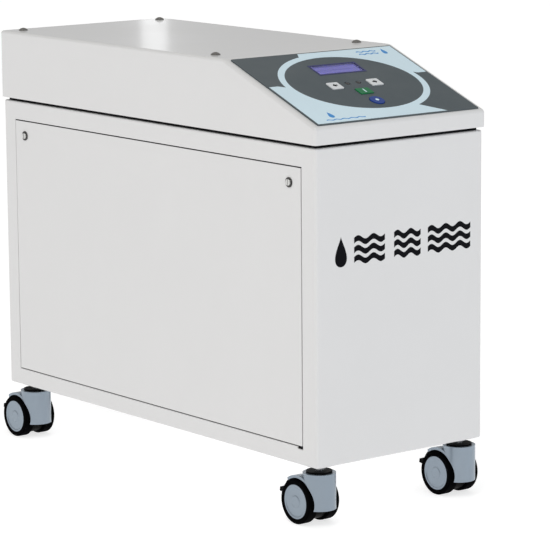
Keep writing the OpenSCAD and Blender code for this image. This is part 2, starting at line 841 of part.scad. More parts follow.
module prefilter_housing() {
    color([0.15, 0.3, 0.55]) translate([filter_x, filter_y, floor_z]) difference() {
        union() {
            cylinder(r = filter_r, h = filter_h - filter_head_h);
            translate([0, 0, filter_h - filter_head_h]) cylinder(r = filter_r - 4, h = filter_head_h);
            translate([-filter_r, 0, filter_h - filter_head_h / 2]) rod_x(port_r + 4, filter_r);
            translate([0, 0, filter_h - filter_head_h / 2]) rod_y(port_r + 4, filter_r);
        }
        translate([0, 0, filter_wall])
            cylinder(r = filter_r - filter_wall, h = filter_h - filter_head_h - 2 * filter_wall);
        translate([-filter_r - eps, 0, filter_h - filter_head_h / 2])
            rod_x(tube_d / 2 + seat_gap, filter_r * 0.6);
        translate([0, filter_r * 0.4 + eps, filter_h - filter_head_h / 2])
            rod_y(tube_d / 2 + seat_gap, filter_r * 0.6);
    }
}

module prefilter_cartridge() {
    color([0.95, 0.95, 0.93]) translate([filter_x, filter_y, floor_z + filter_wall]) difference() {
        cylinder(r = cartridge_r, h = filter_h - filter_head_h - 2 * filter_wall);
        translate([0, 0, -eps]) cylinder(r = cartridge_bore_r, h = filter_h);
    }
}

// Feed valve: a brass body on the feed line with its coil on top
module inlet_valve() {
    color([0.72, 0.58, 0.3]) translate([tail_xs[2], valve_y, valve_z]) {
        difference() {
            translate([-14, -20, -14]) cube([28, 40, 28]);
            translate([0, -21, 0]) rod_y(tube_d / 2 + seat_gap, 42);
        }
        translate([0, 0, 14 - join]) cylinder(r = 6, h = 8 + join);
        translate([-16, -16, 22 - join]) cube([32, 32, 30]);
    }
}

// ---- Rear panel ----

// Three bulkhead fittings with hexagon flanges and plain hose tails: feed, drain and product
module hose_fittings() {
    color(steel) for (x = tail_xs) on_rear([x, tail_z]) difference() {
        union() {
            cylinder(r = tail_hex_r, h = tail_hex_t, $fn = 6);
            translate([0, 0, -sheet - tail_in])
                cylinder(r = tail_thread_r - screw_gap, h = sheet + tail_in + join);
            translate([0, 0, tail_hex_t - join]) cylinder(r = hose_tail_r, h = tail_l + join);
        }
        translate([0, 0, -tail_in - sheet - eps]) cylinder(r = tail_bore_r, h = 80);
    }
}

// Appliance inlet: a flanged body with a socket cavity and three contact pins
module mains_inlet() {
    color(black) on_rear(socket_at) {
        difference() {
            union() {
                linear_extrude(3) rounded_rect(socket_w, socket_h, 3);
                translate([0, 0, -socket_deep]) linear_extrude(socket_deep + join)
                    square([socket_w - 9, socket_h - 5], center = true);
            }
            translate([-inlet_w / 2, -inlet_h / 2, -15]) cube([inlet_w, inlet_h, 20]);
        }
        for (p = [[-7, -2], [0, 3], [7, -2]])
            translate([p[0] - 1, p[1] - 2, -15 - join]) cube([2, 4, 13]);
    }
    color(black) on_rear(switch_at) difference() {
        union() {
            linear_extrude(2) rounded_rect(rocker_w + 6, rocker_h + 6, 2);
            translate([0, 0, -18]) linear_extrude(18 + join)
                square([rocker_w - 0.2, rocker_h - 0.2], center = true);
        }
        translate([0, 0, -14]) linear_extrude(20) square([rocker_w - 3, rocker_h - 3], center = true);
        translate([-rocker_w / 2, 0, rocker_pin_z]) rod_x(rocker_pin_r + run_gap, rocker_w);
    }
}

// Rocker on its cross pin, tipped to the off side
module mains_switch() {
    w = rocker_w - 4;
    h = rocker_h - 6;
    color(black) on_rear(switch_at) translate([0, 0, rocker_pin_z]) rotate([-rocker_tip, 0, 0]) {
        translate([-w / 2, -h / 2, -3]) cube([w, h, 9]);
        translate([-rocker_w / 2 + 0.6, 0, 0]) rod_x(rocker_pin_r, rocker_w - 1.2);
    }
}

module fan_frame() {
    color(black) on_rear(fan_at) translate([0, 0, -sheet - fan_t]) difference() {
        rounded_block(fan_w, fan_w, fan_t, 4);
        difference() {
            translate([0, 0, -eps]) cylinder(r = fan_bore_r, h = fan_t + 2 * eps);
            cylinder(r = fan_hub_r, h = 3);
            for (a = [0 : 120 : 240])
                rotate([0, 0, a]) translate([0, -2.5, 0]) cube([fan_w, 5, 3]);
            cylinder(r = 2, h = fan_t - 6);
        }
    }
}

module fan_rotor() {
    color([0.2, 0.2, 0.22]) on_rear(fan_at) translate([0, 0, -sheet - fan_t + 3.5]) difference() {
        union() {
            cylinder(r = fan_hub_r, h = fan_t - 6);
            for (a = [0 : 360 / fan_blades : 359])
                rotate([0, 0, a]) translate([0, 0, (fan_t - 6) / 2]) rotate([35, 0, 0])
                    translate([fan_hub_r - 2, -0.8, -7]) cube([fan_bore_r - fan_hub_r + 0.5, 1.6, 14]);
        }
        translate([0, 0, -eps]) cylinder(r = 2 + run_gap, h = fan_t - 8);
    }
}

module pressure_gauge() {
    color(steel) on_rear(gauge_at) {
        difference() {
            union() {
                cylinder(r = gauge_r, h = 5);
                translate([0, 0, -gauge_t]) cylinder(r = gauge_r - 3.05, h = gauge_t + join);
            }
            translate([0, 0, 1]) cylinder(r = gauge_r - 2, h = 10);
        }
        translate([0, 0, 1 - join]) cylinder(r = 1, h = 2.4);
    }
}

module gauge_needle() {
    color(black) on_rear(gauge_at) translate([0, 0, 2]) rotate([0, 0, -45]) difference() {
        union() {
            cylinder(r = 3, h = 1);
            translate([0, -0.6, 0]) cube([needle_l, 1.2, 0.6]);
            translate([-6, -1.2, 0]) cube([6, 2.4, 0.6]);
        }
        translate([0, 0, -eps]) cylinder(r = 1 + run_gap, h = 3);
    }
}

module power_box() {
    color([0.8, 0.81, 0.82]) translate([in_x - 92, 60, cab_z + cab_h - 150]) difference() {
        cube([80, 150, 84]);
        for (y = [20 : 12 : 130])
            translate([10, y, 84 - 1.5]) cube([60, 4, 3]);
    }
}

// ---- Tubing: straight runs with round corners where they meet ----

module run(points) {
    for (i = [0 : len(points) - 2]) {
        a = points[i];
        d = points[i + 1] - a;
        l = norm(d);
        translate(a) rotate([0, acos(d[2] / l), atan2(d[1], d[0])]) cylinder(d = tube_d, h = l, $fn = 32);
    }
    for (i = [1 : 1 : len(points) - 2])
        translate(points[i]) sphere(d = tube_d, $fn = 32);
}

module tubing() {
    vessel_end = vessel_l / 2 + 8 + port_l - 6;
    turn = vessel_end + 14;
    filter_port_z = floor_z + filter_h - filter_head_h / 2;
    pump_y = motor_y - pump_l + 16 + vane_l / 2;
    pump_port_z = motor_z + pump_r + port_l - 6;
    pump_port_x = motor_x - pump_r - port_l + 6;
    fitting_y = in_y - tail_in - 1;
    lane_x = (vessel_x + vessel_r + cap_over + filter_x - filter_r) / 2;
    low = vessel_zs[0];
    high = vessel_zs[1];
    color([0.9, 0.92, 0.95]) {
        // Feed fitting to the valve
        run([[tail_xs[2], fitting_y, valve_z], [tail_xs[2], valve_y + 14, valve_z]]);
        // Filter's rear port down to the pump's top port
        run([[filter_x, filter_y + filter_r - 6, filter_port_z],
             [filter_x, pump_y, filter_port_z], [motor_x, pump_y, filter_port_z],
             [motor_x, pump_y, pump_port_z]]);
        // Pump's side port forward and across to the lower vessel's front end
        run([[pump_port_x, pump_y, motor_z], [lane_x, pump_y, motor_z],
             [lane_x, -turn, motor_z], [lane_x, -turn, low], [vessel_x, -turn, low],
             [vessel_x, -vessel_end, low]]);
        // Lower vessel's rear end up to the upper one
        run([[vessel_x, vessel_end, low], [vessel_x, turn, low],
             [vessel_x, turn, high], [vessel_x, vessel_end, high]]);
    }
}

// ---- The nodes ----

translate([0, -centre_y, 0]) {
    cabinet_shell();
    side_panel();  // side_panel_left
    mirror([1, 0, 0]) side_panel();  // side_panel_right
    panel_screws();
    top_cover();
    cover_gasket();
    cover_screws();
    control_overlay();
    display_window();
    display_module();
    white_key(-1);  // key_back
    white_key(1);  // key_next
    key_start();
    key_stop();
    status_leds();
    control_board();
    castor_stems();
    pressure_vessels();
    vessel_caps();
    membrane_elements();
    vessel_clamps();
    pump_motor();
    pump_shaft();
    pump_head();
    prefilter_housing();
    prefilter_cartridge();
    inlet_valve();
    hose_fittings();
    mains_inlet();
    mains_switch();
    fan_frame();
    fan_rotor();
    pressure_gauge();
    gauge_needle();
    power_box();
    tubing();
    for (c = CORNERS) translate([c[1], c[2], 0]) {
        castor_chassis();
        castor_hood();
        castor_axle();
        castor_wheels();
        castor_treads();
        castor_brake();
    }
}
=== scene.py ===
import json
import math
from contextlib import contextmanager

import bmesh
import bpy
from bpy.props import FloatProperty, FloatVectorProperty, IntProperty, PointerProperty
from mathutils import Matrix, Vector


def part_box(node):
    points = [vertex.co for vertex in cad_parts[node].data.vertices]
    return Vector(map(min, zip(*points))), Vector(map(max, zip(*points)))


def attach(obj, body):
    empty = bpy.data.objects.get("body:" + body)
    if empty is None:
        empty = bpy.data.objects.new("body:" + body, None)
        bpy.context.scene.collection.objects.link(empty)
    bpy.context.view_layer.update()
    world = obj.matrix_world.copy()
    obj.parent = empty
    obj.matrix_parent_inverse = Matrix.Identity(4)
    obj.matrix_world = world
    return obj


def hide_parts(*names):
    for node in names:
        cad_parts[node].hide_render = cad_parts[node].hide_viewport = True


bl_info = {
    "name": "Portable Reverse Osmosis Unit",
    "version": (1, 0, 0),
    "blender": (4, 5, 0),
    "location": "View3D > Sidebar > RO Unit",
    "description": "Finishes the cabinet, console, castors and fittings of a portable reverse osmosis unit",
    "category": "Object",
}

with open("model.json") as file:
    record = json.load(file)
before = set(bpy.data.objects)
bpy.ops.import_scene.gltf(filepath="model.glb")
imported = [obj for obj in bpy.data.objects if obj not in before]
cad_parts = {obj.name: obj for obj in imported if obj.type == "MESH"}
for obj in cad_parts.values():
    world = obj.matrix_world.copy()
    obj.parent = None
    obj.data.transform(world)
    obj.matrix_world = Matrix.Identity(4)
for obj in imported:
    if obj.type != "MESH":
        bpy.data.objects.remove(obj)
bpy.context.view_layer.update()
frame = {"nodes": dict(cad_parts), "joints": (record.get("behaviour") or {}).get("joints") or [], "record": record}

MM = 0.001
CORNERS = ("fl", "fr", "rl", "rr")
SMOOTH_ANGLE = math.radians(36)
SHEET = 2 * MM
SCREW_HEAD_RADIUS = 5.5 * MM
SCREW_HOLE = 2.6 * MM
# The castor's black cap: how far it is drawn in, how deep it is, and what of it round the stem stays put
CAP_RIM = 3.5 * MM
CAP_DEPTH = 3 * MM
CAP_BORE = 10 * MM
# The gap round a side panel, and the near-black strip in it that paints the gap's shade
PANEL_GAP = 1.3 * MM
GAP_SHADE_THICK = 0.5 * MM
# The lifting notch under a side panel's front corner
NOTCH_LONG = 9 * MM
NOTCH_HIGH = 2.4 * MM
# The width across a key's flange that its sign is drawn for
SIGN_KEY = 24 * MM
# How deep a fastener's flange, painted dark as shade, sits behind its centre, painted bright as a highlight
FLANGE_DEPTH = 1.39 * MM
# How far in from the cabinet's outline its folded edges can be, and how far an opening's edges are at most
FOLD_REACH = 8 * MM
OPENING_REACH = 0.29
OPENING_CLEAR = 10 * MM
# Printed shapes start this little under the face they are on
INK_FOOT = -0.01 * MM
LEVEL = 0.01 * MM
MERGE_DISTANCE = 0.002 * MM
FLAT_ANGLE = math.radians(0.5)
SHARP_ANGLE = 0.3
# Turns an outline in X and Y into one in Y and Z
FROM_SIDE = Matrix(((0, 0, 1, 0), (1, 0, 0, 0), (0, 1, 0, 0), (0, 0, 0, 1)))


# ---- Selecting and editing ----


def take(*pieces):
    """Makes these the only selected objects, the last of them active."""
    bpy.ops.object.select_all(action="DESELECT")
    for piece in pieces:
        piece.select_set(True)
    bpy.context.view_layer.objects.active = pieces[-1]


@contextmanager
def editing(piece, mode="VERT"):
    """Edit mode on one piece, with nothing selected at the start."""
    take(piece)
    bpy.ops.object.mode_set(mode="EDIT")
    bpy.ops.mesh.select_mode(type=mode)
    bpy.ops.mesh.select_all(action="DESELECT")
    yield bmesh.from_edit_mesh(piece.data)
    bpy.ops.object.mode_set(mode="OBJECT")


def pick(piece, mesh, items, test):
    """Selects what passes the test, and says how many did."""
    chosen = 0
    for item in items:
        if test(item):
            item.select_set(True)
            chosen += 1
    mesh.select_flush_mode()
    bmesh.update_edit_mesh(piece.data)
    return chosen


def apply_all(piece):
    take(piece)
    for modifier in list(piece.modifiers):
        bpy.ops.object.modifier_apply(modifier=modifier.name)


def put(piece, place):
    """Moves a piece by a matrix, into its mesh."""
    take(piece)
    piece.matrix_world = place
    bpy.ops.object.transform_apply(location=True, rotation=True, scale=True)


def middle(edge):
    return (edge.verts[0].co + edge.verts[1].co) / 2


def round_edges(piece, test, width, segments):
    """Bevels the convex edges that pass the test."""
    with editing(piece, "EDGE") as mesh:
        found = pick(
            piece, mesh, mesh.edges,
            lambda e: e.is_convex and e.calc_face_angle(0) > SHARP_ANGLE and test(e, middle(e)),
        )
        if not found:
            raise RuntimeError(f"{piece.name} has no edge to round")
        bpy.ops.mesh.bevel(
            offset_type="OFFSET", offset=width, segments=segments, profile=0.5,
            affect="EDGES", clamp_overlap=True,
        )


def soften(piece, width, segments=2, angle=40):
    """A small bevel on every sharp edge."""
    bevel = piece.modifiers.new("Edges", "BEVEL")
    bevel.width = width
    bevel.segments = segments
    bevel.limit_method = "ANGLE"
    bevel.angle_limit = math.radians(angle)
    bevel.use_clamp_overlap = True
    apply_all(piece)


def cut(piece, cutter, how="DIFFERENCE"):
    """Boolean of a piece with a cutter, which is used up."""
    boolean = piece.modifiers.new("Cut", "BOOLEAN")
    boolean.operation = how
    boolean.solver = "EXACT"
    boolean.object = cutter
    apply_all(piece)
    bpy.data.objects.remove(cutter)


# ---- Starting a piece ----


def node_copy(node, name):
    """A new piece from a CAD node's shape, with its loose triangles merged into whole faces."""
    piece = bpy.data.objects.new(name, frame["nodes"][node].data.copy())
    bpy.context.scene.collection.objects.link(piece)
    with editing(piece):
        bpy.ops.mesh.select_all(action="SELECT")
        bpy.ops.mesh.remove_doubles(threshold=MERGE_DISTANCE)
        bpy.ops.mesh.dissolve_limited(angle_limit=FLAT_ANGLE)
    return piece


def outline(name, corners, low, high):
    """A flat solid from its outline in X and Y, between two heights."""
    bpy.ops.object.select_all(action="DESELECT")
    bpy.ops.mesh.primitive_circle_add(vertices=len(corners), radius=1, fill_type="NGON")
    piece = bpy.context.object
    piece.name = name
    for vertex, corner in zip(piece.data.vertices, corners):
        vertex.co = (corner[0], corner[1], low)
    with editing(piece, "FACE"):
        bpy.ops.mesh.select_all(action="SELECT")
        bpy.ops.mesh.extrude_region_move(TRANSFORM_OT_translate={"value": (0, 0, high - low)})
        bpy.ops.mesh.select_all(action="SELECT")
        bpy.ops.mesh.normals_make_consistent(inside=False)
    return piece


def ellipse(across, down, centre=(0, 0), steps=128):
    turns = [2 * math.pi * i / steps for i in range(steps)]
    return [(centre[0] + across * math.cos(t), centre[1] + down * math.sin(t)) for t in turns]


def rectangle(left, bottom, right, top):
    return [(left, bottom), (right, bottom), (right, top), (left, top)]


def drop(centre, width, height, steps=40):
    """Outline of a water drop, point up."""
    corners = []
    for i in range(steps):
        turn = 2 * math.pi * i / steps
        narrow = math.sin(turn / 2) ** 1.6
        corners.append(
            (centre[0] + width / 2 * math.sin(turn) * narrow, centre[1] + height / 2 * math.cos(turn))
        )
    return corners


def wave(start, length, thickness, height, cycles, steps=16):
    """Outline of a wavy band."""
    count = steps * cycles
    upper, lower = [], []
    for i in range(count + 1):
        x = start[0] + length * i / count
        y = start[1] + height * math.sin(2 * math.pi * i / steps)
        upper.append((x, y + thickness / 2))
        lower.append((x, y - thickness / 2))
    return lower + upper[::-1]


def join(name, pieces):
    take(*pieces)
    bpy.ops.object.join()
    piece = bpy.context.object
    piece.name = name
    return piece


# ---- Finishing a piece ----


def shade(piece):
    take(piece)
    bpy.ops.object.shade_smooth_by_angle(angle=SMOOTH_ANGLE)
    weighted = piece.modifiers.new("Normals", "WEIGHTED_NORMAL")
    weighted.keep_sharp = True
    weighted.weight = 60
    apply_all(piece)


def finish_of(name):
    """The finish made here, which is apart from the frame's own plain material of that slot."""
    return bpy.data.materials[name + FINISH]


def settle(piece, body, slot, *nodes, material=None):
    """Shades and paints a piece, rides it on its body, and hides the CAD nodes it stands for."""
    shade(piece)
    if not piece.data.materials or material:
        piece.data.materials.clear()
        piece.data.materials.append(finish_of(material or slot))
    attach(piece, body)
    if nodes:
        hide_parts(*nodes)
    return piece


def body_of(node):
    return next(b for b, nodes in frame["record"]["behaviour"]["bodies"].items() if node in nodes)


def slot_of(node):
    return next(s["material_slot"] for s in frame["record"]["subparts"] if s["node"] == node)


def finish_node(node, width, segments=2, name=None, edit=None):
    """The CAD node's shape with softened edges, its own finish, and any edit in between."""
    piece = node_copy(node, name or f"{node}_finished")
    piece.data.materials.clear()
    if edit:
        edit(piece)
    if width:
        soften(piece, width, segments)
    return settle(piece, body_of(node), slot_of(node), node)


# ---- Places that come from the frame ----


def joint(name):
    return next(j for j in frame["joints"] if j["name"] == name)


def console_place():
    """X across, Y up the slope and Z out of it, from the middle of the plate's upper edge."""
    across = Vector((1, 0, 0))
    out = Vector(joint("press_start")["axis"]).normalized()
    uphill = out.cross(across)
    points = [v.co for v in frame["nodes"]["control_overlay"].data.vertices]
    origin = uphill * max(p.dot(uphill) for p in points) + out * max(p.dot(out) for p in points)
    place = Matrix((across, uphill, out)).transposed().to_4x4()
    place.translation = origin
    return place


CONSOLE = console_place()


def box_in(place, node):
    """A node's lowest and highest corners in another set of axes."""
    back = place.inverted()
    points = [back @ v.co for v in frame["nodes"][node].data.vertices]
    return (Vector(map(min, zip(*points))), Vector(map(max, zip(*points))))


def front_place():
    """X across and Y up, on the middle of the cabinet's front."""
    low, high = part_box("cabinet_shell")
    place = Matrix(((1, 0, 0), (0, 0, 1), (0, -1, 0))).transposed().to_4x4()
    place.translation = ((low.x + high.x) / 2, low.y, (low.z + high.z) / 2)
    return place


def rear_place(joint_name):
    """X across as seen from behind, Y up and Z out, round a joint on the rear."""
    spin = joint(joint_name)
    place = Matrix(((-1, 0, 0), (0, 0, 1), (0, 1, 0))).transposed().to_4x4()
    place.translation = (spin["pos_m"][0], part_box("cabinet_shell")[1].y, spin["pos_m"][2])
    return place


# ---- Shader node groups ----


def new_group(name, inputs, outputs):
    group = bpy.data.node_groups.new(name, "ShaderNodeTree")
    for label, kind, value in inputs:
        socket = group.interface.new_socket(name=label, in_out="INPUT", socket_type=kind)
        if value is not None:
            socket.default_value = value
    for label, kind in outputs:
        group.interface.new_socket(name=label, in_out="OUTPUT", socket_type=kind)
    return group, group.nodes.new("NodeGroupInput"), group.nodes.new("NodeGroupOutput")


def math_node(tree, how, a, b=None):
    node = tree.nodes.new("ShaderNodeMath")
    node.operation = how
    for socket, value in ((node.inputs[0], a), (node.inputs[1], b)):
        if value is None:
            continue
        if isinstance(value, (int, float)):
            socket.default_value = value
        else:
            tree.links.new(value, socket)
    return node.outputs[0]


def ramp_node(tree, value, low, high, to_low=0.0, to_high=1.0):
    node = tree.nodes.new("ShaderNodeMapRange")
    tree.links.new(value, node.inputs["Value"])
    for label, number in (("From Min", low), ("From Max", high), ("To Min", to_low), ("To Max", to_high)):
        node.inputs[label].default_value = number
    return node.outputs[0]


def noise_node(tree, vector, scale, detail, rough=0.5):
    node = tree.nodes.new("ShaderNodeTexNoise")
    tree.links.new(vector, node.inputs["Vector"])
    if isinstance(scale, (int, float)):
        node.inputs["Scale"].default_value = scale
    else:
        tree.links.new(scale, node.inputs["Scale"])
    node.inputs["Detail"].default_value = detail
    node.inputs["Roughness"].default_value = rough
    return node.outputs[0]


def make_groups():
    """Grain gives a surface's fine height and its slow mottling; dust gathers on what faces up."""
    group, inside, outside = new_group(
        "Grain",
        [("Vector", "NodeSocketVector", None), ("Scale", "NodeSocketFloat", 600.0)],
        [("Height", "NodeSocketFloat"), ("Mottle", "NodeSocketFloat"), ("Streak", "NodeSocketFloat")],
    )
    vector, scale = inside.outputs["Vector"], inside.outputs["Scale"]
    fine = noise_node(group, vector, scale, 2.0, 0.6)
    slow = noise_node(group, vector, 9.0, 3.0, 0.55)
    stretch = group.nodes.new("ShaderNodeMapping")
    stretch.inputs["Scale"].default_value = (1.0, 0.06, 1.0)
    group.links.new(vector, stretch.inputs["Vector"])
    streak = noise_node(group, stretch.outputs[0], scale, 3.0, 0.6)
    group.links.new(fine, outside.inputs["Height"])
    group.links.new(ramp_node(group, slow, 0.3, 0.7), outside.inputs["Mottle"])
    group.links.new(streak, outside.inputs["Streak"])

    group, inside, outside = new_group(
        "Dust",
        [("Vector", "NodeSocketVector", None), ("Amount", "NodeSocketFloat", 0.2)],
        [("Mask", "NodeSocketFloat")],
    )
    geometry = group.nodes.new("ShaderNodeNewGeometry")
    split = group.nodes.new("ShaderNodeSeparateXYZ")
    group.links.new(geometry.outputs["Normal"], split.inputs[0])
    upward = ramp_node(group, split.outputs["Z"], 0.1, 1.0)
    patches = ramp_node(group, noise_node(group, inside.outputs["Vector"], 60.0, 5.0, 0.65), 0.42, 0.72)
    mask = math_node(group, "MULTIPLY", upward, patches)
    group.links.new(math_node(group, "MULTIPLY", mask, inside.outputs["Amount"]), outside.inputs["Mask"])


# Finishes: base colour, roughness, metallic, bump strength, grain scale, colour swing, dust, coat, brushed
FINISHES = {
    "cabinet_white": ((0.738, 0.734, 0.736), 0.36, 0.0, 0.10, 900, 0.012, 0.00, 0.5, False),
    "fastener_steel": ((0.21, 0.20, 0.19), 0.34, 0.5, 0.05, 1400, 0.08, 0.00, 0.0, True),
    # Painted shade on the panel fasteners' flanges
    "fastener_dark": ((0.03, 0.028, 0.026), 0.40, 0.1, 0.05, 1400, 0.08, 0.00, 0.0, True),
    # Painted shade: the near-black strips in the side-panel gaps and notch
    "seal_black": ((0.012, 0.012, 0.013), 0.75, 0.0, 0.15, 700, 0.10, 0.00, 0.0, False),
    "console_print": ((0.057, 0.078, 0.090), 0.42, 0.0, 0.05, 2200, 0.03, 0.02, 0.0, False),
    "display_blue": ((0.035, 0.035, 0.30), 0.30, 0.0, 0.02, 1500, 0.03, 0.00, 0.0, False),
    "key_white": ((0.74, 0.76, 0.78), 0.38, 0.0, 0.04, 1800, 0.02, 0.00, 0.0, False),
    "key_green": ((0.004, 0.17, 0.055), 0.38, 0.0, 0.04, 1800, 0.04, 0.00, 0.0, False),
    "key_blue": ((0.008, 0.045, 0.26), 0.38, 0.0, 0.04, 1800, 0.04, 0.00, 0.0, False),
    "indicator_dark": ((0.035, 0.032, 0.034), 0.22, 0.0, 0.02, 1500, 0.05, 0.00, 0.3, False),
    "board_green": ((0.02, 0.13, 0.05), 0.40, 0.0, 0.10, 500, 0.10, 0.00, 0.0, False),
    "castor_grey": ((0.265, 0.315, 0.37), 0.24, 0.6, 0.06, 1100, 0.04, 0.05, 0.0, False),
    "castor_black": ((0.002, 0.002, 0.002), 0.45, 0.0, 0.08, 1300, 0.10, 0.00, 0.0, False),
    "tyre_black": ((0.0012, 0.0012, 0.0015), 0.62, 0.0, 0.14, 900, 0.15, 0.00, 0.0, False),
    "stem_steel": ((0.52, 0.53, 0.55), 0.26, 1.0, 0.04, 1600, 0.05, 0.00, 0.0, True),
    "vessel_white": ((0.72, 0.73, 0.74), 0.28, 0.0, 0.06, 500, 0.03, 0.00, 0.2, False),
    "cap_black": ((0.02, 0.02, 0.023), 0.42, 0.0, 0.10, 1200, 0.08, 0.00, 0.0, False),
    "membrane_film": ((0.50, 0.60, 0.68), 0.45, 0.0, 0.08, 900, 0.05, 0.00, 0.0, True),
    "motor_grey": ((0.10, 0.13, 0.16), 0.45, 0.0, 0.12, 700, 0.06, 0.04, 0.0, False),
    "brass": ((0.62, 0.44, 0.17), 0.30, 1.0, 0.06, 1300, 0.05, 0.00, 0.0, True),
    "filter_blue": ((0.015, 0.07, 0.28), 0.30, 0.0, 0.05, 1000, 0.04, 0.00, 0.1, False),
    "cartridge_white": ((0.74, 0.73, 0.68), 0.85, 0.0, 0.30, 420, 0.05, 0.00, 0.0, True),
    "tube_clear": ((0.68, 0.73, 0.77), 0.22, 0.0, 0.03, 1000, 0.03, 0.00, 0.2, False),
    "appliance_black": ((0.016, 0.016, 0.018), 0.36, 0.0, 0.06, 1500, 0.08, 0.00, 0.0, False),
    "gauge_steel": ((0.62, 0.62, 0.63), 0.16, 1.0, 0.02, 1600, 0.03, 0.00, 0.0, True),
    "needle_black": ((0.010, 0.010, 0.010), 0.40, 0.0, 0.03, 1500, 0.05, 0.00, 0.0, False),
    "power_grey": ((0.56, 0.57, 0.58), 0.36, 1.0, 0.06, 1000, 0.05, 0.00, 0.0, True),
    "fan_black": ((0.014, 0.014, 0.015), 0.42, 0.0, 0.08, 1300, 0.08, 0.00, 0.0, False),
    "print_light": ((0.70, 0.865, 0.955), 0.42, 0.0, 0.05, 2200, 0.02, 0.02, 0.0, False),
    "print_blue": ((0.035, 0.27, 0.66), 0.42, 0.0, 0.05, 2200, 0.04, 0.00, 0.0, False),
    "print_navy": ((0.018, 0.022, 0.13), 0.40, 0.0, 0.04, 2200, 0.04, 0.00, 0.0, False),
    "print_black": ((0.003, 0.003, 0.005), 0.42, 0.0, 0.05, 2200, 0.06, 0.00, 0.0, False),
    "display_cell": ((0.15, 0.14, 0.50), 0.35, 0.0, 0.02, 1500, 0.12, 0.00, 0.0, False),
    # Painted highlight on the panel fasteners' centres
    "steel_bright": ((0.62, 0.62, 0.61), 0.26, 1.0, 0.04, 1500, 0.05, 0.00, 0.0, True),
    "dial_white": ((0.78, 0.78, 0.75), 0.45, 0.0, 0.03, 1500, 0.02, 0.00, 0.0, False),
}
BUMP_DISTANCE = 0.05 * MM
# How strongly the rubber, the black mouldings and the ink mirror the room
SPECULAR = {
    "tyre_black": 0.01, "castor_black": 0.03, "print_black": 0.05, "seal_black": 0.05,
    "key_green": 0.3, "key_blue": 0.3,
}
COAT_ROUGHNESS = 0.13
FINISH = "_finish"


def make_finish(name, base, rough, metal, bump, grain, swing, dust, coat, brushed):
    """A finish with grain in its normal, slow changes in its colour and gloss, and a little dust."""
    material = bpy.data.materials.new(name + FINISH)
    material.use_nodes = True
    tree = material.node_tree
    shader = tree.nodes["Principled BSDF"]
    shader.inputs["Metallic"].default_value = metal
    shader.inputs["Coat Weight"].default_value = coat
    shader.inputs["Coat Roughness"].default_value = COAT_ROUGHNESS
    shader.inputs["Specular IOR Level"].default_value = SPECULAR.get(name, 0.5)
    where = tree.nodes.new("ShaderNodeTexCoord").outputs["Object"]
    grain_node = tree.nodes.new("ShaderNodeGroup")
    grain_node.node_tree = bpy.data.node_groups["Grain"]
    grain_node.inputs["Scale"].default_value = grain
    tree.links.new(where, grain_node.inputs["Vector"])
    mottle = grain_node.outputs["Mottle"]

    colour = tree.nodes.new("ShaderNodeMix")
    colour.data_type = "RGBA"
    tree.links.new(mottle, colour.inputs["Factor"])
    colour.inputs["A"].default_value = (*[c * (1 - swing) for c in base], 1)
    colour.inputs["B"].default_value = (*[min(1, c * (1 + swing)) for c in base], 1)
    paint = colour.outputs["Result"]
    if dust:
        dusty = tree.nodes.new("ShaderNodeGroup")
        dusty.node_tree = bpy.data.node_groups["Dust"]
        dusty.inputs["Amount"].default_value = dust
        tree.links.new(where, dusty.inputs["Vector"])
        over = tree.nodes.new("ShaderNodeMix")
        over.data_type = "RGBA"
        tree.links.new(dusty.outputs["Mask"], over.inputs["Factor"])
        tree.links.new(paint, over.inputs["A"])
        over.inputs["B"].default_value = (0.45, 0.44, 0.42, 1)
        paint = over.outputs["Result"]
    tree.links.new(paint, shader.inputs["Base Color"])

    gloss = grain_node.outputs["Streak"] if brushed else mottle
    tree.links.new(ramp_node(tree, gloss, 0.2, 0.8, rough * 0.86, rough * 1.14), shader.inputs["Roughness"])
    relief = tree.nodes.new("ShaderNodeBump")
    relief.inputs["Strength"].default_value = bump
    relief.inputs["Distance"].default_value = BUMP_DISTANCE
    tree.links.new(grain_node.outputs["Streak" if brushed else "Height"], relief.inputs["Height"])
    tree.links.new(relief.outputs["Normal"], shader.inputs["Normal"])
    return material


def make_glass(name, colour, rough):
    """Clear glass or acrylic, with faint smears in its gloss."""
    material = bpy.data.materials.new(name + FINISH)
    material.use_nodes = True
    tree = material.node_tree
    shader = tree.nodes["Principled BSDF"]
    shader.inputs["Base Color"].default_value = (*colour, 1)
    shader.inputs["Transmission Weight"].default_value = 1.0
    shader.inputs["IOR"].default_value = 1.45
    where = tree.nodes.new("ShaderNodeTexCoord").outputs["Object"]
    smear = noise_node(tree, where, 45.0, 4.0, 0.6)
    tree.links.new(ramp_node(tree, smear, 0.3, 0.7, rough * 0.6, rough * 1.6), shader.inputs["Roughness"])
    return material


# ---- Sizes and colours that a user would change ----


def length(name, description, default, low, high):
    return FloatProperty(
        name=name, description=description, default=default * MM, min=low * MM, max=high * MM,
        precision=5, subtype="DISTANCE", unit="LENGTH",
    )


def colour(name, description, default):
    return FloatVectorProperty(
        name=name, description=description, default=default, min=0, max=1, size=3, subtype="COLOR",
    )


